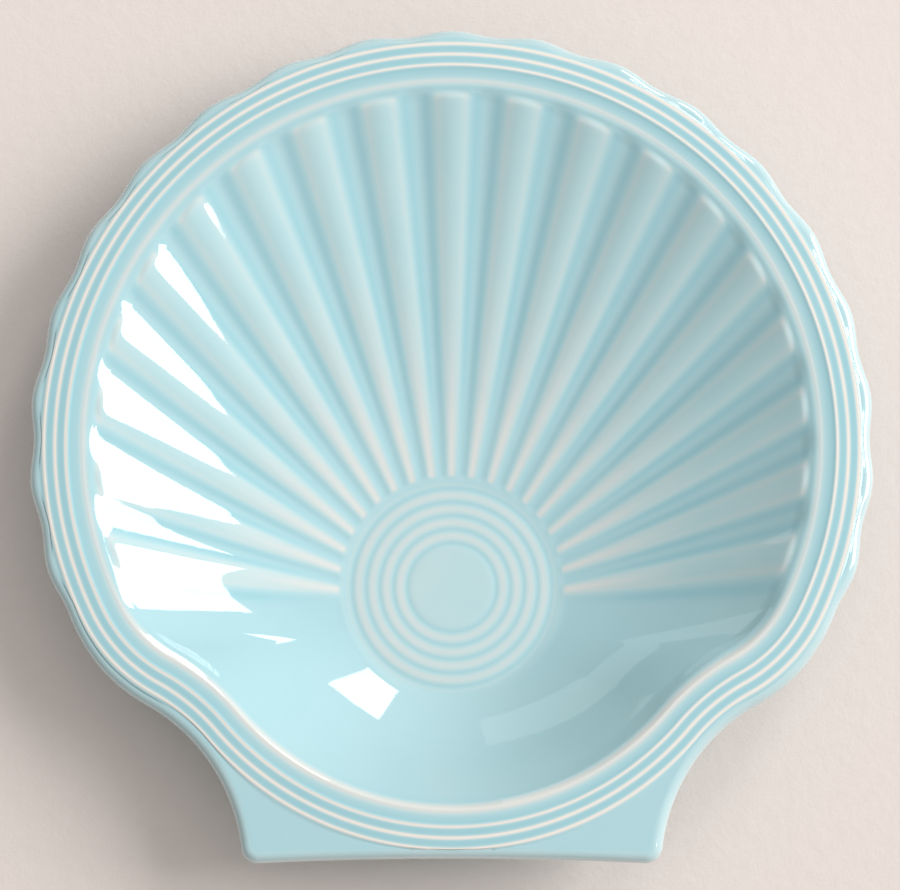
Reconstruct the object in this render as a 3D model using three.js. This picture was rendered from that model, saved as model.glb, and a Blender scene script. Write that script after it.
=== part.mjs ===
// A scallop-shell plate: a pressed and fired clay body under a turquoise glaze.
// Millimetres, +Z up, +Y towards the fan of ribs, -Y towards the tab. The origin is under the middle of
// the plate's box, on the table.
import * as THREE from 'three';

// Rim line in plan: the middle one of the three rim rings, made of tangent arcs
const rimRadius = 109.2;
const shoulderStart = 26; // degrees below the rim's width line where the shoulder leaves the rim circle
const shoulderRadius = 44.2;
const waistRadius = 58.4; // hollow arc between shoulder and bowl, which runs on as the side of the tab
const bowlShift = 24.2; // the bowl arc touches the rim circle at the tab, with its centre this far below

// Rim, measured outwards from the rim line
const ringPitch = 3.05;
const ringFall = 0.3; // each ring stands this much lower than the next one inwards
const fluteDepth = 0.4;
const edgeOffset = 6.8;
const edgeRoundUpper = 2.2;
const edgeRoundLower = 1.7;
const edgeRoundInset = 1.5;
const bandDrop = 0.4; // from the outer ring down to the band outside it
const bandWidth = 1.2;
const rimThickness = 5;
const scallopDepth = 0.65; // half the height of the waves along the outer edge

// Rim, measured inwards from the rim line
const coveOffset = 5.3;
const coveDepth = 0.6;
const lipOffset = 7.5;
const lipDrop = 0.3; // from the inner ring down to the soft lip round the well
const lipRollWidth = 1.4;
const lipRollDrop = 0.3;
const wallTopOffset = 10.3;
const wallTopDrop = 1.3;

// Tab
const tabReach = 114.6; // from the rim's centre to the middle of the tab's straight edge
const tabEdgeRadius = 1100; // the tab's edge is very slightly hollow
const tabCornerRadius = 4.6;

// Heights
const rimHeight = 30.8; // top of the inner ring
const floorHeight = 7.2; // top of the disc in the well
const wallThickness = 5;
const wallHollow = 0.5; // 0 is a straight wall, 1 a fully dished one

// Disc with its ring grooves, below the rim's centre
const discShift = 38.2;
const grooveCount = 5;
const grooveRadius = 12.5; // first groove
const groovePitch = 3.85;
const grooveHalfWidth = 0.95;
const grooveDepth = 0.6;
const discMargin = 0.8; // from the last groove to the foot of the wall

// Ribs
const ribsEachSide = 9; // beside the middle rib
const ribPitchOuter = 12; // degrees about the rim's centre
const ribPitchInner = 10.2; // degrees about the disc's centre
const ribTopShare = 0.16; // half the width of a rib's top, as a share of the rib pitch
const ribFootShare = 0.42; // half the width of its foot
const ribCrown = 0.2;
const ribHeightInner = 0.5;
const ribHeightOuter = 1.3;
const ribStart = 1.9; // ramp from the disc's edge to a rib's full height
const ribEndGap = 1.2; // groove between a rib's squared end and the lip

// Foot ring
const footShift = 17; // centre of the foot ring above the disc's centre
const footClearance = 5.5; // between the disc's edge and the inside of the foot ring
const footWidth = 5;
const footDraft = 1.2; // each wall leans in by this much
const footBareHeight = 1; // bare clay up each wall of the foot ring

// Glaze
const glazeThin = 0.2; // on ridges, where the glaze runs off
const glazeEven = 0.35;
const glazePooled = 0.45; // in grooves

const degrees = Math.PI / 180;
const fanEnd = ribsEachSide + 0.5; // spoke number where the fan of ribs ends
const lowerSpokes = 7; // spoke numbers from the end of the fan to the middle of the tab
const lastSpoke = fanEnd + lowerSpokes;

// Plan geometry is worked out for the right half about the rim's centre, and the left half is its mirror

function pointOn(centre, radius, angle) {
  return [centre[0] + radius * Math.cos(angle), centre[1] + radius * Math.sin(angle)];
}

function direction(from, to) {
  return Math.atan2(to[1] - from[1], to[0] - from[0]);
}

// The same direction as an angle from 0 to a full turn
function fullTurn(angle) {
  return angle < 0 ? angle + 2 * Math.PI : angle;
}

// The point at two given distances from two centres, on the left (side 1) or right (side -1) of the line
function meetingPoint(first, firstDistance, second, secondDistance, side) {
  const across = Math.hypot(second[0] - first[0], second[1] - first[1]);
  const along = (firstDistance ** 2 - secondDistance ** 2 + across ** 2) / (2 * across);
  const off = side * Math.sqrt(firstDistance ** 2 - along ** 2);
  const unit = [(second[0] - first[0]) / across, (second[1] - first[1]) / across];
  return [first[0] + unit[0] * along - unit[1] * off, first[1] + unit[1] * along + unit[0] * off];
}

// An arc from one angle to another. bulge is 1 where the plate lies inside it and -1 where it lies outside.
function arc(centre, radius, start, end, bulge) {
  return { centre, radius, start, end, bulge, length: radius * Math.abs(end - start) };
}

// A point at a length along a chain of arcs, moved outwards by offset
function along(arcs, length, offset) {
  let rest = length;
  let index = 0;
  while (index < arcs.length - 1 && rest > arcs[index].length) {
    rest -= arcs[index].length;
    index += 1;
  }
  const piece = arcs[index];
  const angle = piece.start + (piece.end - piece.start) * (rest / piece.length);
  return pointOn(piece.centre, piece.radius + piece.bulge * offset, angle);
}

function totalLength(arcs) {
  return arcs.reduce((sum, piece) => sum + piece.length, 0);
}

const rimCentre = [0, 0];
const bowlCentre = [0, -bowlShift];
const bowlRadius = rimRadius - bowlShift;
const shoulderAngle = -shoulderStart * degrees;
const shoulderCentre = pointOn(rimCentre, rimRadius - shoulderRadius, shoulderAngle);
const waistCentre = meetingPoint(
  shoulderCentre, shoulderRadius + waistRadius, bowlCentre, bowlRadius + waistRadius, 1);
const shoulderEnd = direction(shoulderCentre, waistCentre);
const bowlStart = direction(bowlCentre, waistCentre);
const quarter = Math.PI / 2;

const rimMain = arc(rimCentre, rimRadius, quarter, shoulderAngle, 1);
const rimShoulder = arc(shoulderCentre, shoulderRadius, shoulderAngle, shoulderEnd, 1);
const rimWaist = arc(waistCentre, waistRadius, shoulderEnd + Math.PI, bowlStart + Math.PI, -1);
const rimBowl = arc(bowlCentre, bowlRadius, bowlStart, -quarter, 1);
const rimLine = [rimMain, rimShoulder, rimWaist, rimBowl];

// The outer edge follows the rim as far as the waist, then runs on round the tab
const edgeWaistRadius = waistRadius - edgeOffset;
const tabEdgeCentre = [0, -tabReach - tabEdgeRadius];
const cornerCentre = meetingPoint(
  waistCentre, edgeWaistRadius + tabCornerRadius, tabEdgeCentre, tabEdgeRadius + tabCornerRadius, -1);
const waistEnd = fullTurn(direction(waistCentre, cornerCentre));
const cornerEnd = direction(cornerCentre, tabEdgeCentre);

const edgeMain = arc(rimCentre, rimRadius + edgeOffset, quarter, shoulderAngle, 1);
const edgeShoulder = arc(shoulderCentre, shoulderRadius + edgeOffset, shoulderAngle, shoulderEnd, 1);
const edgeWaist = arc(waistCentre, edgeWaistRadius, shoulderEnd + Math.PI, waistEnd, -1);
const edgeCorner = arc(cornerCentre, tabCornerRadius, waistEnd - Math.PI, cornerEnd, 1);
const edgeTab = arc(tabEdgeCentre, tabEdgeRadius, direction(tabEdgeCentre, cornerCentre), quarter, -1);
const edgeLine = [edgeMain, edgeShoulder, edgeWaist, edgeCorner, edgeTab];

// Spokes are numbered from 0 at the top through each rib to lastSpoke at the middle of the tab

const fanAngle = fanEnd * ribPitchOuter * degrees;
const fanLength = rimRadius * fanAngle;
const lowerLength = totalLength(rimLine) - fanLength;

function rimPlace(spoke, offset) {
  const inFan = Math.min(spoke, fanEnd) / fanEnd;
  const below = Math.max(spoke - fanEnd, 0) / lowerSpokes;
  return along(rimLine, inFan * fanLength + below * lowerLength, offset);
}

function discPlace(spoke, radius) {
  const fanTurn = ribPitchInner * degrees * fanEnd;
  const inFan = Math.min(spoke, fanEnd) / fanEnd;
  const below = Math.max(spoke - fanEnd, 0) / lowerSpokes;
  const turn = inFan * fanTurn + below * (Math.PI - fanTurn);
  return pointOn([0, -discShift], radius, quarter - turn);
}

// Matching lengths along the rim line and the edge: end of fan, end of shoulder, tab corner, middle of tab
const cornerFromBowl = direction(bowlCentre, cornerCentre);
const rimMarks = [
  fanLength,
  rimMain.length + rimShoulder.length,
  totalLength(rimLine) - bowlRadius * (cornerFromBowl + quarter),
  totalLength(rimLine),
];
const edgeMarks = [
  (rimRadius + edgeOffset) * fanAngle,
  edgeMain.length + edgeShoulder.length,
  totalLength(edgeLine) - edgeTab.length - edgeCorner.length / 2,
  totalLength(edgeLine),
];

function edgeSpoke(length) {
  if (length <= edgeMarks[0]) {
    return fanEnd * (length / edgeMarks[0]);
  }
  let index = 1;
  while (index < edgeMarks.length - 1 && length > edgeMarks[index]) {
    index += 1;
  }
  const share = (length - edgeMarks[index - 1]) / (edgeMarks[index] - edgeMarks[index - 1]);
  const rimLength = rimMarks[index - 1] + share * (rimMarks[index] - rimMarks[index - 1]);
  return fanEnd + lowerSpokes * ((rimLength - fanLength) / lowerLength);
}

// Waves along the edge: a crest at the end of each rib, dying out along the shoulder
function scallop(spoke) {
  const fade = Math.max(0, 1 - Math.max(spoke - fanEnd, 0));
  return scallopDepth * fade * Math.cos(2 * Math.PI * Math.min(spoke, fanEnd));
}

// Spoke numbers that each band of the plate is sampled on

function evenly(from, to, steps) {
  return Array.from({ length: steps }, (_, index) => from + ((to - from) * (index + 1)) / steps);
}

const discFanSteps = 9;
const discLowerSteps = 7;
const rimFanSteps = 2 * fanEnd; // a step at each rib and each valley
const edgeFanSteps = 2 * rimFanSteps;
const lowerSteps = 12;
const discSpokes = [0, ...evenly(0, fanEnd, discFanSteps), ...evenly(fanEnd, lastSpoke, discLowerSteps)];
const rimSpokes = [0, ...evenly(0, fanEnd, rimFanSteps), ...evenly(fanEnd, lastSpoke, lowerSteps)];
const ribSpokes = [0];
for (let rib = 0; rib <= ribsEachSide; rib += 1) {
  if (rib > 0) {
    ribSpokes.push(rib - ribFootShare, rib - ribTopShare, rib);
  }
  ribSpokes.push(rib + ribTopShare, rib + ribFootShare, rib + 0.5);
}
ribSpokes.push(...evenly(fanEnd, lastSpoke, lowerSteps));

const edgeLengths = [0, ...evenly(0, edgeMarks[0], edgeFanSteps)];
const edgeLowerSteps = [3, 6, 5, 5]; // along the shoulder, the waist, the tab's corner and its edge
let edgeFrom = edgeMarks[0];
let edgeTo = edgeMain.length;
edgeLowerSteps.forEach((steps, index) => {
  edgeTo += edgeLine[index + 1].length;
  edgeLengths.push(...evenly(edgeFrom, edgeTo, steps));
  edgeFrom = edgeTo;
});

// A loop of surface points round the plate, counter-clockwise from the middle of the tab.
// place gives a point of the right half for one sample, and coat is the glaze over it.
function loopOf(samples, spokeOf, place, coat) {
  const right = samples.map((sample) => ({ spoke: spokeOf(sample), point: place(sample) }));
  const left = right.slice(1, -1).map(({ spoke, point }) => ({
    spoke: -spoke,
    point: [-point[0], point[1], point[2]],
  }));
  const all = [...right.reverse(), ...left];
  return all.map(({ spoke, point }) => ({ turn: -spoke, point, coat }));
}

const sameSpoke = (spoke) => spoke;

function discLoop(radius, height, coat) {
  return loopOf(discSpokes, sameSpoke, (spoke) => [...discPlace(spoke, radius), height], coat);
}

function rimLoop(offset, height, coat) {
  return loopOf(rimSpokes, sameSpoke, (spoke) => [...rimPlace(spoke, offset), height], coat);
}

function edgeLoop(inset, height, coat) {
  const place = (length) => {
    const offset = scallop(edgeSpoke(length)) - inset;
    return [...along(edgeLine, length, offset), height];
  };
  return loopOf(edgeLengths, edgeSpoke, place, coat);
}

// Well: the wall rises along each spoke from the disc's edge to its top under the lip

const discRadius = grooveRadius + (grooveCount - 1) * groovePitch + grooveHalfWidth + discMargin;
const wallTopHeight = rimHeight - wallTopDrop;

function wallEnds(spoke) {
  return { foot: discPlace(spoke, discRadius), top: rimPlace(spoke, -wallTopOffset) };
}

function wallPoint(spoke, share) {
  const { foot, top } = wallEnds(spoke);
  const rise = share * (1 - wallHollow + wallHollow * share);
  return [
    foot[0] + (top[0] - foot[0]) * share,
    foot[1] + (top[1] - foot[1]) * share,
    floorHeight + (wallTopHeight - floorHeight) * rise,
  ];
}

function wallLength(spoke) {
  const { foot, top } = wallEnds(spoke);
  return Math.hypot(top[0] - foot[0], top[1] - foot[1]);
}

// Height of the ribs over the wall: flat-topped, with a slight crown
function ribProfile(spoke) {
  if (spoke > fanEnd) {
    return 0;
  }
  const fromAxis = Math.abs(spoke - Math.round(spoke));
  if (fromAxis > ribTopShare) {
    return Math.max(0, (ribFootShare - fromAxis) / (ribFootShare - ribTopShare));
  }
  return 1;
}

function ribLoop(shareOf, scale, coat) {
  const place = (spoke) => {
    const share = shareOf(spoke);
    const [x, y, z] = wallPoint(spoke, share);
    const height = ribHeightInner + (ribHeightOuter - ribHeightInner) * share;
    const crown = spoke === Math.round(spoke) && spoke < fanEnd ? ribCrown : 0;
    return [x, y, z + scale * (ribProfile(spoke) * height + crown)];
  };
  return loopOf(ribSpokes, sameSpoke, place, coat);
}

// Face of the plate, from the middle of the disc outwards

const face = [[{ turn: 0, point: [0, -discShift, floorHeight], coat: glazeEven }]];
for (let groove = 0; groove < grooveCount; groove += 1) {
  const radius = grooveRadius + groove * groovePitch;
  face.push(discLoop(radius - grooveHalfWidth, floorHeight, glazeThin));
  face.push(discLoop(radius, floorHeight - grooveDepth, glazePooled));
  face.push(discLoop(radius + grooveHalfWidth, floorHeight, glazeThin));
}

const ribStartShare = (spoke) => ribStart / wallLength(spoke);
const ribEndShare = (spoke) => 1 - ribEndGap / wallLength(spoke);
const between = (mix) => (spoke) => ribStartShare(spoke) * (1 - mix) + ribEndShare(spoke) * mix;
face.push(
  ribLoop(() => 0, 0, glazeEven),
  ribLoop(ribStartShare, 1, glazeThin),
  ribLoop(between(1 / 3), 1, glazeEven),
  ribLoop(between(2 / 3), 1, glazeEven),
  ribLoop(ribEndShare, 1, glazeThin),
  ribLoop(() => 1, 0, glazePooled),
);

const lipHeight = rimHeight - lipDrop;
const middleRing = rimHeight - ringFall;
const outerRing = middleRing - ringFall;
const bandHeight = outerRing - bandDrop;
face.push(
  rimLoop(-lipOffset - lipRollWidth, lipHeight - lipRollDrop, glazeEven),
  rimLoop(-lipOffset, lipHeight, glazeThin),
  rimLoop(-coveOffset, rimHeight - coveDepth, glazePooled),
  rimLoop(-ringPitch, rimHeight, glazeThin),
  rimLoop(-ringPitch / 2, (rimHeight + middleRing) / 2 - fluteDepth, glazePooled),
  rimLoop(0, middleRing, glazeThin),
  rimLoop(ringPitch / 2, (middleRing + outerRing) / 2 - fluteDepth, glazePooled),
  rimLoop(ringPitch, outerRing, glazeThin),
  rimLoop(ringPitch + bandWidth, bandHeight, glazePooled),
);

const edgeTop = bandHeight - edgeRoundUpper;
const edgeBottom = outerRing - rimThickness;
face.push(
  edgeLoop(edgeRoundInset, bandHeight, glazeEven),
  edgeLoop(0, edgeTop, glazeThin),
  edgeLoop(0, edgeBottom + edgeRoundLower, glazeThin),
  edgeLoop(edgeRoundInset, edgeBottom, glazeEven),
);

// Underside, from the edge inwards to the foot ring

const footCentre = [0, footShift - discShift];
const footInnerRadius = discRadius + footShift + footClearance;
const footOuterRadius = footInnerRadius + footWidth;

// Share of a spoke's wall at which it crosses a circle about the foot's centre
function footShare(spoke, radius) {
  const { foot, top } = wallEnds(spoke);
  const step = [top[0] - foot[0], top[1] - foot[1]];
  const start = [foot[0] - footCentre[0], foot[1] - footCentre[1]];
  const a = step[0] ** 2 + step[1] ** 2;
  const b = step[0] * start[0] + step[1] * start[1];
  const c = start[0] ** 2 + start[1] ** 2 - radius ** 2;
  return (Math.sqrt(b * b - a * c) - b) / a;
}

function underLoop(shareOf, coat) {
  const place = (spoke) => {
    const [x, y, z] = wallPoint(spoke, shareOf(spoke));
    return [x, y, z - wallThickness];
  };
  return loopOf(rimSpokes, sameSpoke, place, coat);
}

function footLoop(radius, height, coat) {
  const place = (spoke) => {
    const [x, y] = wallPoint(spoke, footShare(spoke, radius));
    return [x, y, height];
  };
  return loopOf(rimSpokes, sameSpoke, place, coat);
}

const footRoot = (spoke) => footShare(spoke, footOuterRadius + footDraft);
const footInnerRoot = (spoke) => footShare(spoke, footInnerRadius - footDraft);
const underside = [
  rimLoop(0, edgeBottom, glazeEven),
  underLoop(() => 1, glazeEven),
  underLoop((spoke) => (1 + footRoot(spoke)) / 2, glazeEven),
  underLoop(footRoot, glazePooled),
  footLoop(footOuterRadius, footBareHeight, glazeThin),
];
const footRing = [
  footLoop(footOuterRadius, 0, 0),
  footLoop(footInnerRadius, 0, 0),
];
const footWell = [
  footLoop(footInnerRadius, footBareHeight, glazeThin),
  underLoop(footInnerRoot, glazePooled),
  underLoop(() => 0, glazeEven),
  [{ turn: 0, point: [0, -discShift, floorHeight - wallThickness], coat: glazeEven }],
];

// Surfaces: neighbouring loops are joined by triangles, whatever their numbers of points

function joinLoops(inner, outer, innerStart, outerStart) {
  const triangles = [];
  const turnAt = (loop, index) => (index < loop.length ? loop[index].turn : lastSpoke);
  let i = 0;
  let j = 0;
  const innerSteps = inner.length > 1 ? inner.length : 0;
  const outerSteps = outer.length > 1 ? outer.length : 0;
  while (i < innerSteps || j < outerSteps) {
    const a = innerStart + (i % inner.length);
    const b = outerStart + (j % outer.length);
    const stepInner = i < innerSteps && (j === outerSteps || turnAt(inner, i + 1) <= turnAt(outer, j + 1));
    if (stepInner) {
      i += 1;
      triangles.push([a, b, innerStart + (i % inner.length)]);
    } else {
      j += 1;
      triangles.push([a, b, outerStart + (j % outer.length)]);
    }
  }
  return triangles;
}

// Points and triangles of a run of loops
function sheet(loops) {
  const starts = [];
  let count = 0;
  loops.forEach((loop) => {
    starts.push(count);
    count += loop.length;
  });
  const triangles = [];
  for (let index = 1; index < loops.length; index += 1) {
    triangles.push(...joinLoops(loops[index - 1], loops[index], starts[index - 1], starts[index]));
  }
  return { points: loops.flat().map(({ point }) => point), triangles };
}

// Unit normals of the clay at the points of all its loops
function pointNormals({ points, triangles }) {
  const corners = points.map((point) => new THREE.Vector3(...point));
  const normals = points.map(() => new THREE.Vector3());
  triangles.forEach((triangle) => {
    const [a, b, c] = triangle.map((index) => corners[index]);
    const normal = b.clone().sub(a).cross(c.clone().sub(a));
    triangle.forEach((index) => normals[index].add(normal));
  });
  return normals.map((normal) => normal.normalize());
}

// The table is at 0, and the plate's box is centred on the origin
const backReach = rimRadius + edgeOffset + scallopDepth;
const cornerReach = -cornerCentre[1] + tabCornerRadius;
const centring = (cornerReach - backReach) / 2;

function solid(name, { points, triangles }, material) {
  const geometry = new THREE.BufferGeometry();
  const positions = points.flatMap(([x, y, z]) => [x, y + centring, z]);
  geometry.setAttribute('position', new THREE.Float32BufferAttribute(positions, 3));
  geometry.setIndex(triangles.flat());
  geometry.computeVertexNormals();
  const mesh = new THREE.Mesh(geometry, material);
  mesh.name = name;
  return mesh;
}

// A glaze lies on a run of the clay's loops: the same surface turned over, its raised copy and the rims
function glazeOver(loops, normals) {
  const { points, triangles } = sheet(loops);
  const coats = loops.flat().map(({ coat }) => coat);
  const raised = points.map((point, index) => point.map(
    (value, axis) => value + normals[index].getComponent(axis) * coats[index]));
  const under = triangles.map(([a, b, c]) => [a, c, b].map((index) => index + points.length));
  return { points: [...raised, ...points], triangles: [...triangles, ...under] };
}

// The rim of a glaze, where it ends at a bare stretch: joins the raised border to the one on the clay
function glazeBorder(border, start, size, atEnd) {
  const triangles = joinLoops(border, border, start, start + size);
  return atEnd ? triangles : triangles.map(([a, b, c]) => [a, c, b]);
}

const coatedLoops = [...face, ...underside];
const clayLoops = [...coatedLoops, ...footRing, ...footWell];
const claySheet = sheet(clayLoops);
const clayNormals = pointNormals(claySheet);

const coatSize = coatedLoops.flat().length;
const coat = glazeOver(coatedLoops, clayNormals.slice(0, coatSize));
const coatBorder = coatedLoops.at(-1);
coat.triangles.push(...glazeBorder(coatBorder, coatSize - coatBorder.length, coatSize, true));

const wellSize = footWell.flat().length;
const wellGlaze = glazeOver(footWell, clayNormals.slice(-wellSize));
wellGlaze.triangles.push(...glazeBorder(footWell[0], 0, wellSize, false));

const clay = new THREE.MeshStandardMaterial({ color: 0xe6dccb, roughness: 0.85, metalness: 0 });
const turquoise = new THREE.MeshStandardMaterial({ color: 0xacd6dd, roughness: 0.08, metalness: 0 });
const turquoiseBelow = new THREE.MeshStandardMaterial({ color: 0xa4d0d8, roughness: 0.12, metalness: 0 });

const plate = new THREE.Group();
plate.add(
  solid('clay_body', claySheet, clay),
  solid('glaze_coat', coat, turquoise),
  solid('foot_well_glaze', wellGlaze, turquoiseBelow),
);

export default plate;
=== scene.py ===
import math

import bpy
import numpy as np
from mathutils import Matrix, Vector


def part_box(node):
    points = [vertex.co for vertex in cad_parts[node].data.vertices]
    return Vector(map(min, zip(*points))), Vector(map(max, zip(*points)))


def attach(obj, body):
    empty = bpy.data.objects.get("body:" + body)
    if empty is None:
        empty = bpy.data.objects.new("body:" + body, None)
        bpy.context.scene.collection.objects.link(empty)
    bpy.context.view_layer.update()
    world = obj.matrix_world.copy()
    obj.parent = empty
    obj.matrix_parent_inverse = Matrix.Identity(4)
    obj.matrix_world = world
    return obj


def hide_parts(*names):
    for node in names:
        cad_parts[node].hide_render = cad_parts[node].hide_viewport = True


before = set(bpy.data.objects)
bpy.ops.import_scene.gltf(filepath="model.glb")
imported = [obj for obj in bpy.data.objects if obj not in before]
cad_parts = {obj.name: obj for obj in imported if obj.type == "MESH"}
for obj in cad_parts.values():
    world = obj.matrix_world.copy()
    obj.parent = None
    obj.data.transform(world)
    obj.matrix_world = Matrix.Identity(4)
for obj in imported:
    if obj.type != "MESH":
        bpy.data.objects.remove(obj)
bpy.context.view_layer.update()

# A scallop-shell plate in pale turquoise glaze. The fine shape repeats the CAD's sizes, in millimetres,
# and is sampled densely, softened like fired glaze, and coated thicker in its hollows than on its ridges.
MM = 0.001
QUARTER = math.pi / 2

# Rim line in plan
RIM_RADIUS = 109.2
SHOULDER_START = math.radians(26)
SHOULDER_RADIUS = 44.2
WAIST_RADIUS = 58.4
BOWL_SHIFT = 24.2

# Rim profile, measured outwards and inwards from the rim line
RIM_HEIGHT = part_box("clay_body")[1].z / MM
RIM_THICKNESS = 5.0
RING_PITCH = 3.05
RING_FALL = 0.15
BEAD_HEIGHT = 0.26
BEAD_WIDTH = 0.36
BAND_DROP = 0.25
BAND_WIDTH = 1.6
EDGE_OFFSET = 6.8
EDGE_EASE = 0.24  # the shown edge lies this far inside the coarser solid's
EDGE_ROUND_UPPER = 2.2
EDGE_ROUND_LOWER = 1.7
EDGE_ROUND_INSET = 2.4
SCALLOP_DEPTH = 0.65
COVE_DEPTH = 0.15

# Lip between the wall and the cove, in the fan and below it
LIP_DROP = 0.3
LIP_OFFSET, LOWER_LIP_OFFSET = 7.5, 7.6
LIP_RUN, LOWER_LIP_RUN = 1.8, 2.6  # from the wall's top to where its line meets the lip's height
LIP_SOFTNESS, LOWER_LIP_SOFTNESS = 0.55, 0.05
LIP_CHANGE = 2  # spokes past the last rib over which the one turns into the other

# Wall of the well
FLOOR_HEIGHT = 7.2
WALL_TOP_OFFSET = 10.3
WALL_THICKNESS = 5.0
WALL_HOLLOW = 0.5
WALL_STRAIGHT, LOWER_WALL_STRAIGHT = 1.1, 0.66  # share of the wall from which it gets no steeper
STRAIGHT_CHANGE = 3.4  # spokes past the last rib over which the one turns into the other
LOOSE_REACH = 0.85  # spokes over which the wall evens out the outline of the lip
LOOSE_END = 0.3  # share of the wall from which it draws in to that outline

# Tab
TAB_REACH = 114.6
TAB_EDGE_RADIUS = 1100.0
TAB_CORNER_RADIUS = 4.6

# Disc
DISC_SHIFT = 38.2
DISC_MARGIN = 0.8
GROOVE_COUNT = 5
GROOVE_RADIUS = 12.5
GROOVE_PITCH = 3.85
GROOVE_HALF_WIDTH = 0.95
GROOVE_DEPTH = 0.3

# Ribs
RIBS_EACH_SIDE = 9
RIB_PITCH_OUTER = math.radians(12)
RIB_PITCH_INNER = math.radians(10.2)
RIB_HEIGHT_INNER = 0.27
RIB_HEIGHT_OUTER = 1.3
RIB_TIP = 1.2  # from the disc's edge to where a rib begins to rise
RIB_TIP_RAMP = 1.4
RIB_END_GAP = -0.45
RIB_END_RAMP = 2.6
VALLEY_END_GAP = -2.6  # valleys run on under the lip
VALLEY_END_RAMP = 5.5
LAST_FLANK = 0.93  # spokes over which the last rib falls to the plain lower wall
LAST_CURVE = 1.5  # 1 for an even fall, more for one that is steeper at first
FAN_FADE = 7.0  # spokes over which that fall is made up again

# Foot ring
FOOT_SHIFT = 17.0
FOOT_CLEARANCE = 5.5
FOOT_WIDTH = 5.0
FOOT_DRAFT = 1.2
FOOT_BARE_HEIGHT = 1.0
FOOT_ROUND = 0.7

# Glaze over ridges, plain faces and hollows
GLAZE_THIN, GLAZE_EVEN, GLAZE_POOLED = 0.18, 0.35, 0.45
GLAZE_DRIFT = 0.14  # slow change of colour, as a share of a pool

# The pool of glaze at a point is -1 on a bare ridge, 0 on a plain face and 1 in a full hollow. Below,
# what is pale lowers it, what is deep raises it, and widths and reaches say how far either spreads.
CREST_PALE_INNER, CREST_PALE_OUTER = 0.65, 0.05
CREST_REACH = 0.7  # share of the wall over which the one turns into the other
CREST_SHARPNESS = 2.5
CAP_PALE = 0.24  # at the end of a rib
CAP_GAP, CAP_WIDTH = 0.95, 0.9  # before the wall's top
CAP_WAVE, CAP_WAVE_RAMP = 0.3, 0.4  # how far up the rib's side a cap begins
VALLEY_DEEP_INNER, VALLEY_DEEP_OUTER = 0.3, 0.1
FLANK_DEEP = 0.45
FLANK_TURN, FLANK_WIDTH = 0.35, 0.06  # in rib pitches from the crest
# Rib shoulders painted paler: thin glaze, plus painted sheen like the light on the lit shoulders
RIB_SHOULDER_PALE_AND_SHEEN = 0.25
RIB_SHOULDER_TURN, RIB_SHOULDER_WIDTH = 0.2, 0.05
RIB_SHOULDER_RAMP = 1.5
FLANK_REACH = 0.5  # share of the wall over which flanks and shoulders come in
FACE_END_GAP, FACE_END_RAMP = -1.5, 3.0  # all these end past the wall's top
WALL_GROOVE_DEEP = 0.25
WALL_GROOVE_RUN, WALL_GROOVE_WIDTH = 0.9, 0.6  # past the wall's top
LIP_PALE, LOWER_LIP_PALE = 0.45, 0.75
LIP_PALE_WIDTH, LOWER_LIP_PALE_WIDTH = 0.8, 1.1
COVE_DEEP = 0.75
RING_DEEP = 0.6
BEAD_PALE, BEAD_PALE_WIDTH = 1.3, 0.32
BAND_DEEP = 0.2
EDGE_PALE = 0.35
DISC_PALE = 0.12
GROOVE_DEEP, GROOVE_DEEP_WIDTH = 0.4, 0.5
DISC_RIDGE_PALE, DISC_RIDGE_WIDTH = 0.28, 0.7
UNDER_RIM_DEEP, UNDER_RIM_REACH = 0.2, 0.3
FOOT_ROOT_DEEP, FOOT_ROOT_REACH = 0.5, 0.2
OUTSIDE_ROOT_REACH, INSIDE_ROOT_REACH = 0.08, 0.1
FOOT_EDGE_PALE, FOOT_EDGE_REACH = 0.9, 0.1

# How far rows of points are drawn together, as fired glaze rounds a corner
SOFTENING_ROUNDS = 14
SOFTENING_STEP = 0.5
DISC_SOFT = 0.5
WALL_FOOT_SOFT = 0.6
UNDER_EDGE_SOFT, UNDER_EDGE_SOFT_FROM = 0.5, 0.5
UNDER_SOFT = 0.9
UNDER_WALL_SOFT_FROM, FOOT_SIDE_SOFT_TO, FOOT_WELL_SOFT_TO = 0.85, 0.4, 0.2  # next to the foot ring's roots

# Numbers of spokes and rows
FAN_SPOKES, LOWER_WALL_SPOKES, CORNER_SPOKES = 191, 111, 16
POLE_RADIUS = 0.6  # of the smallest loop of points
DISC_ROWS, GROOVE_ROW_STEP = 10, 0.3
WALL_ROWS = 64
WALL_END_ROWS, WALL_END_REACH = 19, 5.4
LIP_ROW_STEP = 0.2
RING_ROWS = 18
BAND_ROWS, BAND_CROWDING = 17, 1.6  # rows lie closer together near the ring
UPPER_EDGE_ROWS, LOWER_EDGE_ROWS = 10, 8
UNDER_EDGE_ROWS, UNDER_RIM_ROWS = 10, 18
UNDER_WALL_ROWS, UNDER_WALL_CROWDING = 40, 0.8
FOOT_OUTSIDE_ROWS, FOOT_INSIDE_ROWS, FOOT_ROUND_ROWS = 14, 12, 7
FOOT_WELL_ROWS, UNDER_DISC_ROWS = 24, 14
INNER_STEP = 4  # where clay and glaze touch, only every fourth row is kept
BODY_SPOKE_STEP = 2

FAN_END = RIBS_EACH_SIDE + 0.5
LOWER_SPOKES = 7.0
LAST_SPOKE = FAN_END + LOWER_SPOKES


def blend(start, end, share):
    return start + (end - start) * share


def ease(x):
    x = np.clip(x, 0.0, 1.0)
    return x * x * (3.0 - 2.0 * x)


def hump(x, width):
    return np.exp(-0.5 * (x / width) ** 2)


# Plan geometry of the right half, about the rim's centre


def point_on(centre, radius, angle):
    return np.array([centre[0] + radius * np.cos(angle), centre[1] + radius * np.sin(angle)])


def direction(start, end):
    return math.atan2(end[1] - start[1], end[0] - start[0])


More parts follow.
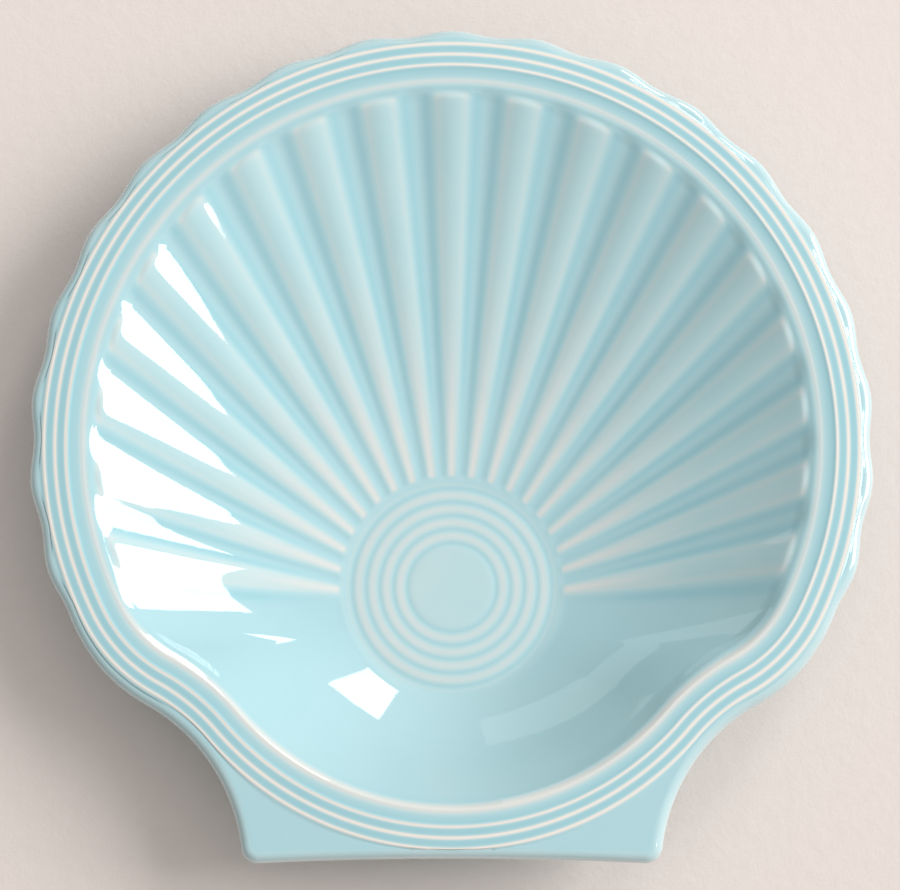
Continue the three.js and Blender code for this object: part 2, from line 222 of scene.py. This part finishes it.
def meeting_point(first, first_distance, second, second_distance, side):
    """The point at two distances from two centres, left (1) or right (-1) of the line between them."""
    across = math.dist(first, second)
    forward = (first_distance**2 - second_distance**2 + across**2) / (2 * across)
    off = side * math.sqrt(first_distance**2 - forward**2)
    unit = (second - first) / across
    return first + unit * forward + np.array([-unit[1], unit[0]]) * off


def arc(centre, radius, start, end, bulge):
    """bulge is 1 where the plate lies inside the arc and -1 where it lies outside."""
    return centre, radius, start, end, bulge, radius * abs(end - start)


def total_length(arcs):
    return sum(piece[-1] for piece in arcs)


def along(arcs, lengths, offset):
    """Points at lengths along a chain of arcs, moved outwards by offset."""
    points = np.zeros((2, len(lengths)))
    begun = 0.0
    for centre, radius, start, end, bulge, length in arcs:
        angle = start + (end - start) * (lengths - begun) / length
        points = np.where(lengths >= begun, point_on(centre, radius + bulge * offset, angle), points)
        begun += length
    return points


rim_centre = np.zeros(2)
bowl_centre = np.array([0.0, -BOWL_SHIFT])
bowl_radius = RIM_RADIUS - BOWL_SHIFT
shoulder_centre = point_on(rim_centre, RIM_RADIUS - SHOULDER_RADIUS, -SHOULDER_START)
waist_centre = meeting_point(
    shoulder_centre, SHOULDER_RADIUS + WAIST_RADIUS, bowl_centre, bowl_radius + WAIST_RADIUS, 1
)
shoulder_end = direction(shoulder_centre, waist_centre)
bowl_start = direction(bowl_centre, waist_centre)
rim_line = [
    arc(rim_centre, RIM_RADIUS, QUARTER, -SHOULDER_START, 1),
    arc(shoulder_centre, SHOULDER_RADIUS, -SHOULDER_START, shoulder_end, 1),
    arc(waist_centre, WAIST_RADIUS, shoulder_end + math.pi, bowl_start + math.pi, -1),
    arc(bowl_centre, bowl_radius, bowl_start, -QUARTER, 1),
]

edge_waist_radius = WAIST_RADIUS - EDGE_OFFSET
tab_edge_centre = np.array([0.0, -TAB_REACH - TAB_EDGE_RADIUS])
corner_centre = meeting_point(
    waist_centre,
    edge_waist_radius + TAB_CORNER_RADIUS,
    tab_edge_centre,
    TAB_EDGE_RADIUS + TAB_CORNER_RADIUS,
    -1,
)
waist_end = direction(waist_centre, corner_centre) % (2 * math.pi)
corner_end = direction(corner_centre, tab_edge_centre)
edge_line = [
    arc(rim_centre, RIM_RADIUS + EDGE_OFFSET, QUARTER, -SHOULDER_START, 1),
    arc(shoulder_centre, SHOULDER_RADIUS + EDGE_OFFSET, -SHOULDER_START, shoulder_end, 1),
    arc(waist_centre, edge_waist_radius, shoulder_end + math.pi, waist_end, -1),
    arc(corner_centre, TAB_CORNER_RADIUS, waist_end - math.pi, corner_end, 1),
    arc(tab_edge_centre, TAB_EDGE_RADIUS, direction(tab_edge_centre, corner_centre), QUARTER, -1),
]

# Lengths along the rim line and the edge line that lie on the same spoke
fan_angle = FAN_END * RIB_PITCH_OUTER
fan_length = RIM_RADIUS * fan_angle
lower_length = total_length(rim_line) - fan_length
corner_angle = direction(bowl_centre, corner_centre) + QUARTER
rim_marks = [
    0.0,
    fan_length,
    total_length(rim_line[:2]),
    total_length(rim_line) - bowl_radius * corner_angle,
    total_length(rim_line),
]
edge_marks = [
    0.0,
    (RIM_RADIUS + EDGE_OFFSET) * fan_angle,
    total_length(edge_line[:2]),
    total_length(edge_line[:3]) + edge_line[3][-1] / 2,
    total_length(edge_line),
]

# Spokes run from 0 at the top, through each rib, to the middle of the tab. The tab's corner has extra ones.
corner_lengths = np.linspace(total_length(edge_line[:3]), total_length(edge_line[:4]), CORNER_SPOKES)
corner_rim = np.interp(corner_lengths, edge_marks, rim_marks)
corner_spokes = FAN_END + LOWER_SPOKES * (corner_rim - fan_length) / lower_length
fan_spokes = np.linspace(0, FAN_END, FAN_SPOKES)
lower_spokes = np.linspace(FAN_END, LAST_SPOKE, LOWER_WALL_SPOKES)
spokes = np.unique(np.concatenate([fan_spokes, lower_spokes, corner_spokes]))
in_fan = np.minimum(spokes, FAN_END) / FAN_END
below_fan = np.maximum(spokes - FAN_END, 0.0) / LOWER_SPOKES
rim_lengths = in_fan * fan_length + below_fan * lower_length
edge_lengths = np.interp(rim_lengths, rim_marks, edge_marks)
fan_turn = RIB_PITCH_INNER * FAN_END
disc_angles = QUARTER - in_fan * fan_turn - below_fan * (math.pi - fan_turn)
scallop = SCALLOP_DEPTH * np.maximum(0.0, 1.0 - np.maximum(spokes - FAN_END, 0.0))
scallop = scallop * np.cos(2 * math.pi * np.minimum(spokes, FAN_END))

# Each spoke's place across its rib: flank_turn is 0 on a crest and half in a valley, wave 1 and 0
from_axis = np.abs(spokes - np.round(spokes))
past_last = np.maximum(spokes - RIBS_EACH_SIDE, 0.0)
fan_fade = ease(1.0 - (past_last - LAST_FLANK) / FAN_FADE)
last_turn = (1.0 - (1.0 - np.minimum(past_last / LAST_FLANK, 1.0)) ** LAST_CURVE) / 2
flank_turn = np.where(past_last > 0, last_turn, from_axis)
wave = np.cos(math.pi * flank_turn) ** 2

disc_radius = GROOVE_RADIUS + (GROOVE_COUNT - 1) * GROOVE_PITCH + GROOVE_HALF_WIDTH + DISC_MARGIN
disc_centre = np.array([0.0, -DISC_SHIFT])


def rim_place(offset):
    return along(rim_line, rim_lengths, offset)


def edge_place(inset):
    return along(edge_line, edge_lengths, scallop - inset - EDGE_EASE)


def disc_place(radius):
    return point_on(disc_centre, radius, disc_angles)


# Wall of the well, by the share of the way from the disc's edge to the wall's top

wall_foot = disc_place(disc_radius)
wall_top = rim_place(-WALL_TOP_OFFSET)
wall_length = np.hypot(*(wall_top - wall_foot))
lip_height = RIM_HEIGHT - LIP_DROP
below_ribs = ease((spokes - RIBS_EACH_SIDE) / LIP_CHANGE)
lip_softness = blend(LIP_SOFTNESS, LOWER_LIP_SOFTNESS, below_ribs)
lip_run = blend(LIP_RUN, LOWER_LIP_RUN, below_ribs)
lip_middle = blend(LIP_OFFSET, LOWER_LIP_OFFSET, below_ribs)
lip_pale = blend(LIP_PALE, LOWER_LIP_PALE, below_ribs)
lip_pale_width = blend(LIP_PALE_WIDTH, LOWER_LIP_PALE_WIDTH, below_ribs)
straight_from = blend(
    WALL_STRAIGHT, LOWER_WALL_STRAIGHT, ease((spokes - RIBS_EACH_SIDE) / STRAIGHT_CHANGE)
)


def hollow_slope(share):
    return 1 - WALL_HOLLOW + 2 * WALL_HOLLOW * share


def hollow_line(share):
    """Rises ever steeper from 0 at the wall's foot, to 1 at its top where no part of it is straight."""
    curved = np.minimum(share, straight_from)
    straight = share - curved
    return curved * (1 - WALL_HOLLOW + WALL_HOLLOW * curved) + straight * hollow_slope(straight_from)


def smoothed(values, reach):
    """Each value's mean over the spokes near it, on past the plate's axis by mirroring."""
    places = np.concatenate([-spokes[:0:-1], spokes, 2 * LAST_SPOKE - spokes[-2::-1]])
    mirrored = np.concatenate([values[:0:-1], values, values[-2::-1]])
    weights = hump(spokes[:, None] - places, reach) * np.gradient(places)
    return weights @ mirrored / weights.sum(1)


top_slope = hollow_slope(np.minimum(straight_from, 1.0))
wall_rise = (lip_height - FLOOR_HEIGHT) / (hollow_line(1.0) + lip_run * top_slope / wall_length)
loose_length = smoothed(wall_length, LOOSE_REACH)


def wall_place(share):
    return blend(wall_foot, wall_top, share)


def wall_line(share):
    """The height of the wall, which follows the outline of the lip only loosely until near its top."""
    length = blend(loose_length, wall_length, ease((share - LOOSE_END) / (1 - LOOSE_END)))
    return FLOOR_HEIGHT + wall_rise * hollow_line(share * wall_length / length)


def rib_tip(share):
    """0 at the disc's edge, 1 where the ribs have risen."""
    return ease((share * wall_length - RIB_TIP) / RIB_TIP_RAMP)


def before_end(share, gap, ramp):
    """1 along the wall, falling to 0 at a gap before its top."""
    return ease(((1 - share) * wall_length - gap) / ramp)


def rib_rise(share):
    """Waves about the wall's line: crests end squarely before the lip, valleys run out softly under it."""
    height = blend(RIB_HEIGHT_INNER, RIB_HEIGHT_OUTER, share) * rib_tip(share) * fan_fade
    crest = np.maximum(wave - 0.5, 0.0) * before_end(share, RIB_END_GAP, RIB_END_RAMP)
    valley = np.minimum(wave - 0.5, 0.0) * before_end(share, VALLEY_END_GAP, VALLEY_END_RAMP)
    return height * (crest + valley)


def face_height(share):
    """The wall bends softly into the lip, and the ribs lie on it."""
    line = -lip_softness * np.logaddexp(-wall_line(share) / lip_softness, -lip_height / lip_softness)
    return line + rib_rise(share)


def face_pool(share):
    """Glaze drawn off the ribs into the valleys and the groove under the lip."""
    to_top = (1 - share) * wall_length
    paleness = blend(CREST_PALE_INNER, CREST_PALE_OUTER, ease(share / CREST_REACH))
    crest = wave**CREST_SHARPNESS * paleness * before_end(share, RIB_END_GAP, RIB_END_RAMP)
    cap = CAP_PALE * ease((wave - CAP_WAVE) / CAP_WAVE_RAMP) * hump(to_top - CAP_GAP, CAP_WIDTH)
    valley = (1 - wave) * blend(VALLEY_DEEP_INNER, VALLEY_DEEP_OUTER, share)
    flank = FLANK_DEEP * hump(flank_turn - FLANK_TURN, FLANK_WIDTH) * ease(share / FLANK_REACH)
    ribbed = rib_tip(share) * fan_fade * (valley + flank * (share < 1) - crest - cap)
    groove = WALL_GROOVE_DEEP * hump(to_top + WALL_GROOVE_RUN, WALL_GROOVE_WIDTH)
    return ribbed * before_end(share, FACE_END_GAP, FACE_END_RAMP) + groove


def face_pale_and_sheen(share):
    """Paler shoulders on the ribs, too slight to shape the glaze: thin glaze there, plus a painted sheen
    standing in for the light caught on the lit shoulders.
    """
    shoulder = hump(flank_turn - RIB_SHOULDER_TURN, RIB_SHOULDER_WIDTH) * ease(share / FLANK_REACH)
    return -RIB_SHOULDER_PALE_AND_SHEEN * shoulder * before_end(share, 0.0, RIB_SHOULDER_RAMP) * fan_fade


def lip_paleness(offset):
    return lip_pale * hump(offset + lip_middle, lip_pale_width)


def bead_paleness(distance):
    return BEAD_PALE * hump(distance, BEAD_PALE_WIDTH)


# Rows of surface points from the middle of the disc to the middle of the foot well. Each row holds one
# point for every spoke, the pool of glaze there, a change of tint alone (the rib shoulders' paleness and
# painted sheen), and how far the row is softened.
rows = []


def add_row(place, height, pool=0.0, soft=0.0, tint=0.0):
    row = np.zeros((5, len(spokes)))
    row[:2] = place
    row[2] = height
    row[3] = pool
    row[4] = tint
    rows.append((row, soft))


def add_disc():
    groove_middles = GROOVE_RADIUS + GROOVE_PITCH * np.arange(GROOVE_COUNT)
    first_groove = GROOVE_RADIUS - 2 * GROOVE_HALF_WIDTH
    plain = np.linspace(POLE_RADIUS, first_groove, DISC_ROWS)[:-1]
    for radius in [*plain, *np.arange(first_groove, disc_radius, GROOVE_ROW_STEP)]:
        from_groove = np.min(np.abs(radius - groove_middles))
        depth = GROOVE_DEPTH * max(0.0, 1 - from_groove / GROOVE_HALF_WIDTH)
        between = GROOVE_RADIUS < radius < groove_middles[-1]
        ridge = between * hump(from_groove - GROOVE_PITCH / 2, DISC_RIDGE_WIDTH)
        pool = GROOVE_DEEP * hump(from_groove, GROOVE_DEEP_WIDTH) - DISC_PALE - DISC_RIDGE_PALE * ridge
        add_row(disc_place(radius), FLOOR_HEIGHT - depth, pool, DISC_SOFT * (radius > first_groove))


def add_face_row(share, soft=0.0):
    add_row(wall_place(share), face_height(share), face_pool(share), soft, face_pale_and_sheen(share))


def add_wall():
    """Rows at even distances near both ends of the wall, and shared out evenly between them."""
    near_end = np.linspace(0.0, WALL_END_REACH, WALL_END_ROWS)
    for distance in near_end:
        add_face_row(distance / wall_length, WALL_FOOT_SOFT)
    end_share = near_end[-1] / wall_length
    for step in np.linspace(0, 1, WALL_ROWS)[1:-1]:
        add_face_row(blend(end_share, 1 - end_share, step))
    for distance in near_end[:0:-1]:
        add_face_row(1 - distance / wall_length)


def add_lip():
    for offset in np.arange(-WALL_TOP_OFFSET, -LIP_OFFSET, LIP_ROW_STEP):
        share = 1 + (offset + WALL_TOP_OFFSET) / wall_length
        add_row(rim_place(offset), face_height(share), face_pool(share) - lip_paleness(offset))


ring_offsets = RING_PITCH * np.array([-1, 0, 1])
ring_heights = RIM_HEIGHT - RING_FALL * np.arange(3)
band_height = ring_heights[2] - BEAD_HEIGHT - BAND_DROP
edge_top = band_height - EDGE_ROUND_UPPER
edge_bottom = ring_heights[2] - RIM_THICKNESS


def add_rings():
    """The cove from the lip to the first ring, then the hollows between the rings."""
    lip_share = 1 + (WALL_TOP_OFFSET - LIP_OFFSET) / wall_length
    ridges = [(-LIP_OFFSET, face_height(lip_share) + BEAD_HEIGHT), *zip(ring_offsets, ring_heights)]
    for (start, start_height), (end, end_height) in zip(ridges, ridges[1:]):
        for step in np.arange(RING_ROWS) / RING_ROWS:
            offset = blend(start, end, step)
            to_ring = np.min(np.abs(offset - ring_offsets))
            height = blend(start_height, end_height, step) - BEAD_HEIGHT * (1 - hump(to_ring, BEAD_WIDTH))
            hollow = 4 * step * (1 - step)  # 1 midway between two ridges
            pool = RING_DEEP * hollow
            if start == -LIP_OFFSET:
                height = height - COVE_DEPTH * hollow
                pool = COVE_DEEP * step - lip_paleness(offset)
            add_row(rim_place(offset), height, pool - bead_paleness(to_ring))


def add_band():
    """From the outer ring to the edge, and over the tab."""
    outer_ring = rim_place(RING_PITCH)
    band_edge = edge_place(EDGE_ROUND_INSET)
    band_reach = np.hypot(*(band_edge - outer_ring))
    for step in np.linspace(0, 1, BAND_ROWS)[:-1] ** BAND_CROWDING:
        distance = step * band_reach
        fall = BAND_DROP * (1 - ease(distance / BAND_WIDTH))
        height = band_height + fall + BEAD_HEIGHT * hump(distance, BEAD_WIDTH)
        add_row(blend(outer_ring, band_edge, step), height, BAND_DEEP - bead_paleness(distance))


def add_edge():
    for angle in np.linspace(0, QUARTER, UPPER_EDGE_ROWS):
        height = edge_top + EDGE_ROUND_UPPER * math.cos(angle)
        add_row(edge_place(EDGE_ROUND_INSET * (1 - math.sin(angle))), height, -EDGE_PALE * math.sin(angle))
    for angle in np.linspace(0, QUARTER, LOWER_EDGE_ROWS):
        height = edge_bottom + EDGE_ROUND_LOWER * (1 - math.sin(angle))
        add_row(edge_place(EDGE_ROUND_INSET * (1 - math.cos(angle))), height, -EDGE_PALE * math.cos(angle))


# Underside

foot_centre = np.array([0.0, FOOT_SHIFT - DISC_SHIFT])
foot_inner = disc_radius + FOOT_SHIFT + FOOT_CLEARANCE
foot_outer = foot_inner + FOOT_WIDTH
outer_root_radius = foot_outer + FOOT_DRAFT
inner_root_radius = foot_inner - FOOT_DRAFT


def under_height(share):
    return wall_line(share) - WALL_THICKNESS


def foot_share(radius):
    """Share of each spoke's wall at which it crosses a circle about the foot ring's centre."""
    step = wall_top - wall_foot
    start = wall_foot - foot_centre[:, None]
    a = (step**2).sum(0)
    b = (step * start).sum(0)
    c = (start**2).sum(0) - radius**2
    return (np.sqrt(b * b - a * c) - b) / a


def foot_place(radius):
    return wall_place(foot_share(radius))


def add_under_rim():
    under_edge = edge_place(EDGE_ROUND_INSET)
    under_rim = rim_place(0.0)
    for step in np.linspace(0, 1, UNDER_EDGE_ROWS)[1:]:
        soft = UNDER_EDGE_SOFT * (step > UNDER_EDGE_SOFT_FROM)
        add_row(blend(under_edge, under_rim, step), edge_bottom, soft=soft)
    for step in np.linspace(0, 1, UNDER_RIM_ROWS)[1:-1]:
        height = blend(edge_bottom, under_height(1.0), step)
        pool = UNDER_RIM_DEEP * hump(step, UNDER_RIM_REACH)
        add_row(blend(under_rim, wall_top, step), height, pool, UNDER_SOFT)


def add_under_wall():
    """From under the wall's top in to the outer root of the foot ring."""
    root = foot_share(outer_root_radius)
    for step in np.linspace(0, 1, UNDER_WALL_ROWS):
        share = blend(1.0, root, step**UNDER_WALL_CROWDING)
        pool = FOOT_ROOT_DEEP * hump(1 - step, OUTSIDE_ROOT_REACH)
        add_row(wall_place(share), under_height(share), pool, UNDER_SOFT * (step > UNDER_WALL_SOFT_FROM))


def add_foot_side(root_radius, bare_radius, steps):
    """A glazed side of the foot ring, by steps from 0 at its root to 1 where the bare clay begins."""
    root_height = under_height(foot_share(root_radius))
    for step in steps:
        height = blend(root_height, FOOT_BARE_HEIGHT, step)
        deep = FOOT_ROOT_DEEP * hump(step, FOOT_ROOT_REACH)
        pale = FOOT_EDGE_PALE * hump(1 - step, FOOT_EDGE_REACH)
        soft = UNDER_SOFT * (step < FOOT_SIDE_SOFT_TO)
        add_row(foot_place(blend(root_radius, bare_radius, step)), height, deep - pale, soft)


def add_foot_round(radius, side, angles):
    """A rounded edge of the foot ring's bare face: side is -1 at its outer edge and 1 at its inner one."""
    for angle in angles:
        height = FOOT_ROUND * (1 - math.sin(angle))
        add_row(foot_place(radius + side * FOOT_ROUND * (1 - math.cos(angle))), height)


def add_foot_well():
    """From the inner root of the foot ring to the middle of its well."""
    root = foot_share(inner_root_radius)
    for step in np.linspace(0, 1, FOOT_WELL_ROWS)[1:]:
        share = root * (1 - step)
        pool = FOOT_ROOT_DEEP * hump(step, INSIDE_ROOT_REACH)
        add_row(wall_place(share), under_height(share), pool, UNDER_SOFT * (step < FOOT_WELL_SOFT_TO))
    for radius in np.linspace(disc_radius, POLE_RADIUS, UNDER_DISC_ROWS)[1:]:
        add_row(disc_place(radius), FLOOR_HEIGHT - WALL_THICKNESS)


add_disc()
add_wall()
add_lip()
add_rings()
add_band()
add_edge()
add_under_rim()
add_under_wall()
add_foot_side(outer_root_radius, foot_outer, np.linspace(0, 1, FOOT_OUTSIDE_ROWS)[1:])
coat_rows = len(rows)
add_foot_round(foot_outer, -1, np.linspace(0, QUARTER, FOOT_ROUND_ROWS)[1:])
add_foot_round(foot_inner, 1, np.linspace(QUARTER, 0, FOOT_ROUND_ROWS))
bare_rows = len(rows)
add_foot_side(inner_root_radius, foot_inner, np.linspace(1, 0, FOOT_INSIDE_ROWS))
add_foot_well()


# Surfaces of the clay and the glaze


def whole_loops():
    """The right half from the tab to the top, then its mirror image."""
    half = np.stack([row for row, _ in rows])
    mirrored = half[:, :, 1:-1] * np.array([-1, 1, 1, 1, 1])[:, None]
    return np.concatenate([half[:, :, ::-1], mirrored], axis=2).transpose(0, 2, 1)


def soften(points):
    """Draws each row towards the middle of the rows before and after it."""
    softness = np.array([soft for _, soft in rows])[1:-1, None, None]
    for _ in range(SOFTENING_ROUNDS):
        middle = (points[:-2] + points[2:]) / 2
        points[1:-1] += softness * SOFTENING_STEP * (middle - points[1:-1])


def surface_normals(points):
    across = np.roll(points, -1, axis=1) - np.roll(points, 1, axis=1)
    normals = np.cross(np.gradient(points, axis=0), across)
    return normals / np.linalg.norm(normals, axis=2, keepdims=True)


back_reach = RIM_RADIUS + EDGE_OFFSET + SCALLOP_DEPTH
corner_reach = TAB_CORNER_RADIUS - corner_centre[1]
rim_middle = (corner_reach - back_reach) / 2  # the rim's centre, along Y from the middle of the plate's box
grid = whole_loops()
clay_points = grid[:, :, :3] + np.array([0.0, rim_middle, 0.0])
soften(clay_points)
pools = np.clip(grid[:, :, 3], -1.0, 1.0)
shades = np.clip(pools + grid[:, :, 4], -1.0, 1.0)
thickness = np.interp(pools, [-1, 0, 1], [GLAZE_THIN, GLAZE_EVEN, GLAZE_POOLED])
glaze_points = clay_points + surface_normals(clay_points) * thickness[:, :, None]


def loft(name, loops, shade, material):
    """A closed mesh through loops of points, capped at both ends by fans, with a value at each point."""
    row_count, loop_count, _ = loops.shape
    index = np.arange(row_count * loop_count).reshape(row_count, loop_count)
    after = np.roll(index, -1, axis=1)
    quads = np.stack([index[:-1], index[1:], after[1:], after[:-1]], axis=2).reshape(-1, 4)
    poles = np.array([loops[0].mean(0), loops[-1].mean(0)])
    first, last = row_count * loop_count, row_count * loop_count + 1
    first_fan = np.stack([np.full(loop_count, first), index[0], after[0]], axis=1)
    last_fan = np.stack([np.full(loop_count, last), after[-1], index[-1]], axis=1)
    fans = np.concatenate([first_fan, last_fan])
    points = np.concatenate([loops.reshape(-1, 3), poles]) * MM
    corners = np.concatenate([quads.ravel(), fans.ravel()])
    sizes = np.concatenate([np.full(len(quads), 4), np.full(len(fans), 3)])
    mesh = bpy.data.meshes.new(name)
    mesh.vertices.add(len(points))
    mesh.vertices.foreach_set("co", points.ravel())
    mesh.loops.add(len(corners))
    mesh.loops.foreach_set("vertex_index", corners)
    mesh.polygons.add(len(sizes))
    mesh.polygons.foreach_set("loop_start", np.concatenate([[0], np.cumsum(sizes)[:-1]]))
    mesh.polygons.foreach_set("use_smooth", np.ones(len(sizes), bool))
    mesh.update(calc_edges=True)
    layer = mesh.attributes.new("pool", "FLOAT", "POINT")
    layer.data.foreach_set("value", np.concatenate([shade.ravel(), shade[[0, -1]].mean(1)]))
    mesh.materials.append(material)
    piece = bpy.data.objects.new(name, mesh)
    bpy.context.scene.collection.objects.link(piece)
    return piece


# Materials


def set_sockets(node, values):
    for socket, value in values.items():
        node.inputs[socket.replace("_", " ")].default_value = value


class NodeMaterial:
    """A new material, with short ways to add nodes to it and join them to its shader."""

    def __init__(self, name):
        self.material = bpy.data.materials.new(name)
        self.material.use_nodes = True
        self.nodes = self.material.node_tree.nodes
        self.join = self.material.node_tree.links.new
        self.shader = self.nodes["Principled BSDF"]

    def add(self, kind, **values):
        node = self.nodes.new(kind)
        set_sockets(node, values)
        return node

    def noise(self, **values):
        """Noise that is fixed to the piece, at a scale in waves per metre."""
        place = self.add("ShaderNodeTexCoord")
        noise = self.add("ShaderNodeTexNoise", **values)
        self.join(place.outputs["Object"], noise.inputs["Vector"])
        return noise.outputs["Fac"]

    def colour(self, level, tones):
        ramp = self.add("ShaderNodeValToRGB")
        elements = ramp.color_ramp.elements
        elements[0].position, elements[1].position = tones[0][0], tones[-1][0]
        for position, _ in tones[1:-1]:
            elements.new(position)
        for element, (_, tone) in zip(elements, tones):
            element.color = (*tone, 1.0)
        self.join(level, ramp.inputs["Fac"])
        self.join(ramp.outputs["Color"], self.shader.inputs["Base Color"])

    def bump(self, height, **values):
        bump = self.add("ShaderNodeBump", **values)
        self.join(height, bump.inputs["Height"])
        self.join(bump.outputs["Normal"], self.shader.inputs["Normal"])

    def finish(self, **values):
        set_sockets(self.shader, values)
        return self.material


def glaze_level(glaze):
    """The pool of glaze with a slow drift, from 0 on a bare ridge to 1 in a full hollow."""
    pool = glaze.add("ShaderNodeAttribute")
    pool.attribute_name = "pool"
    drift = glaze.add("ShaderNodeMapRange", To_Min=-GLAZE_DRIFT, To_Max=GLAZE_DRIFT)
    glaze.join(glaze.noise(Scale=45.0, Detail=3.0), drift.inputs["Value"])
    total = glaze.add("ShaderNodeMath")
    glaze.join(pool.outputs["Fac"], total.inputs[0])
    glaze.join(drift.outputs["Result"], total.inputs[1])
    level = glaze.add("ShaderNodeMapRange", From_Min=-1.0, From_Max=1.0)
    glaze.join(total.outputs["Value"], level.inputs["Value"])
    return level.outputs["Result"]


def glaze_material():
    glaze = NodeMaterial("turquoise glaze")
    cream, pale, even = (0.86, 0.81, 0.74), (0.65, 0.72, 0.71), (0.445, 0.68, 0.72)
    deep, pooled = (0.33, 0.605, 0.67), (0.27, 0.56, 0.645)
    tones = [(0.0, cream), (0.25, pale), (0.5, even), (0.8, deep), (1.0, pooled)]
    glaze.colour(glaze_level(glaze), tones)
    glaze.bump(glaze.noise(Scale=160.0, Detail=2.0), Strength=0.05, Distance=0.0005)
    return glaze.finish(Roughness=0.04, IOR=1.55, Coat_Weight=1.0, Coat_Roughness=0.02, Coat_IOR=1.5)


def clay_material():
    clay = NodeMaterial("bare clay")
    grain = clay.noise(Scale=900.0, Detail=6.0)
    clay.colour(grain, [(0.0, (0.62, 0.54, 0.42)), (1.0, (0.86, 0.8, 0.69))])
    clay.bump(grain, Strength=0.3, Distance=0.0002)
    return clay.finish(Roughness=0.85)


def paper_material():
    paper = NodeMaterial("paper")
    fibre = paper.noise(Scale=220.0, Detail=6.0, Roughness=0.7)
    paper.colour(fibre, [(0.0, (0.765, 0.685, 0.645)), (1.0, (0.81, 0.73, 0.69))])
    paper.bump(fibre, Strength=0.35, Distance=0.0006)
    return paper.finish(Roughness=0.9)


# Pieces


def make_coat(material):
    inner_rows = np.unique([*range(0, coat_rows, INNER_STEP), coat_rows - 1])[::-1]
    points = np.concatenate([glaze_points[:coat_rows], clay_points[inner_rows]])
    return loft("coat", points, np.concatenate([shades[:coat_rows], shades[inner_rows]]), material)


def make_foot_pool(material):
    points = np.concatenate([clay_points[bare_rows:][::-1], glaze_points[bare_rows:]])
    shade = np.concatenate([shades[bare_rows:][::-1], shades[bare_rows:]])
    return loft("foot_pool", points, shade, material)


def make_body(material):
    foot_rows = range(coat_rows - 1, bare_rows + 1)
    body_rows = np.unique([*range(0, len(rows), INNER_STEP), *foot_rows, len(rows) - 1])
    points = clay_points[body_rows][:, ::BODY_SPOKE_STEP]
    return loft("body", points, shades[body_rows][:, ::BODY_SPOKE_STEP], material)


glaze = glaze_material()
for piece, node, slot in [
    (make_coat(glaze), "glaze_coat", "turquoise_glaze"),
    (make_foot_pool(glaze), "foot_well_glaze", "turquoise_glaze"),
    (make_body(clay_material()), "clay_body", "bare_clay"),
]:
    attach(piece, "root")
    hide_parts(node)

# Stage: a sheet of paper, two bright windows on the right, a dim card behind and a pale room, which is
# brighter above and on the windows' side
PAPER_SIZE = 3.0
ROOM_COLOUR = (1.0, 0.985, 0.97, 1.0)
ROOM_LEVEL = 0.19
ROOM_SLOPE = (0.26, 0.03, 0.55)


def lay_paper():
    bpy.ops.mesh.primitive_plane_add(size=PAPER_SIZE)
    floor = bpy.context.object
    floor.name = "paper_sheet"
    floor.data.materials.append(paper_material())


def pane(name, facing, distance, sides, heights, radiance):
    """An upright rectangle of light, in metres, facing the plate from an azimuth in degrees."""
    lamp = bpy.data.lights.new(name, "AREA")
    lamp.shape = "RECTANGLE"
    lamp.size, lamp.size_y = sides[1] - sides[0], heights[1] - heights[0]
    lamp.energy = radiance * math.pi * lamp.size * lamp.size_y
    holder = bpy.data.objects.new(name, lamp)
    bpy.context.scene.collection.objects.link(holder)
    turn = Matrix.Rotation(math.radians(facing), 3, "Z")
    holder.location = turn @ Vector((distance, sum(sides) / 2, sum(heights) / 2))
    holder.rotation_euler = (QUARTER, 0.0, math.radians(facing) + QUARTER)


def light_room():
    world = bpy.data.worlds.new("pale room")
    world.use_nodes = True
    nodes = world.node_tree.nodes
    join = world.node_tree.links.new
    sky = nodes["Background"]
    sky.inputs["Color"].default_value = ROOM_COLOUR
    ray = nodes.new("ShaderNodeTexCoord")
    slope = nodes.new("ShaderNodeVectorMath")
    slope.operation = "DOT_PRODUCT"
    slope.inputs[1].default_value = ROOM_SLOPE
    join(ray.outputs["Generated"], slope.inputs[0])
    glow = nodes.new("ShaderNodeMath")
    glow.use_clamp = True
    glow.inputs[1].default_value = ROOM_LEVEL
    join(slope.outputs["Value"], glow.inputs[0])
    join(glow.outputs["Value"], sky.inputs["Strength"])
    bpy.context.scene.world = world


lay_paper()
pane("window", facing=0.0, distance=2.4, sides=(-0.25, 1.93), heights=(0.8, 3.22), radiance=6.1)
pane("side_window", facing=14.8, distance=2.0, sides=(1.63, 2.7), heights=(1.42, 3.05), radiance=5.5)
pane("dim_card", facing=119.0, distance=1.54, sides=(-0.56, 0.62), heights=(0.43, 0.92), radiance=0.5)
light_room()

# Camera
CAMERA_DISTANCE = 1.0
CAMERA_ELEVATION = math.radians(81)
CAMERA_LENS, CAMERA_SENSOR = 145.4, 36.0
AIM_RIGHT, AIM_BACK = -0.47, -1.58  # from the rim's centre, in millimetres


def set_camera():
    camera = bpy.data.objects.new("camera", bpy.data.cameras.new("camera"))
    bpy.context.scene.collection.objects.link(camera)
    camera.data.sensor_width = CAMERA_SENSOR
    camera.data.lens = CAMERA_LENS
    back = Vector((0.0, -math.cos(CAMERA_ELEVATION), math.sin(CAMERA_ELEVATION)))
    aim = Vector((AIM_RIGHT, rim_middle + AIM_BACK, RIM_HEIGHT)) * MM
    camera.location = aim + back * CAMERA_DISTANCE
    camera.rotation_euler = back.to_track_quat("Z", "Y").to_euler()
    bpy.context.scene.camera = camera


set_camera()
bpy.context.scene.view_settings.view_transform = "Standard"
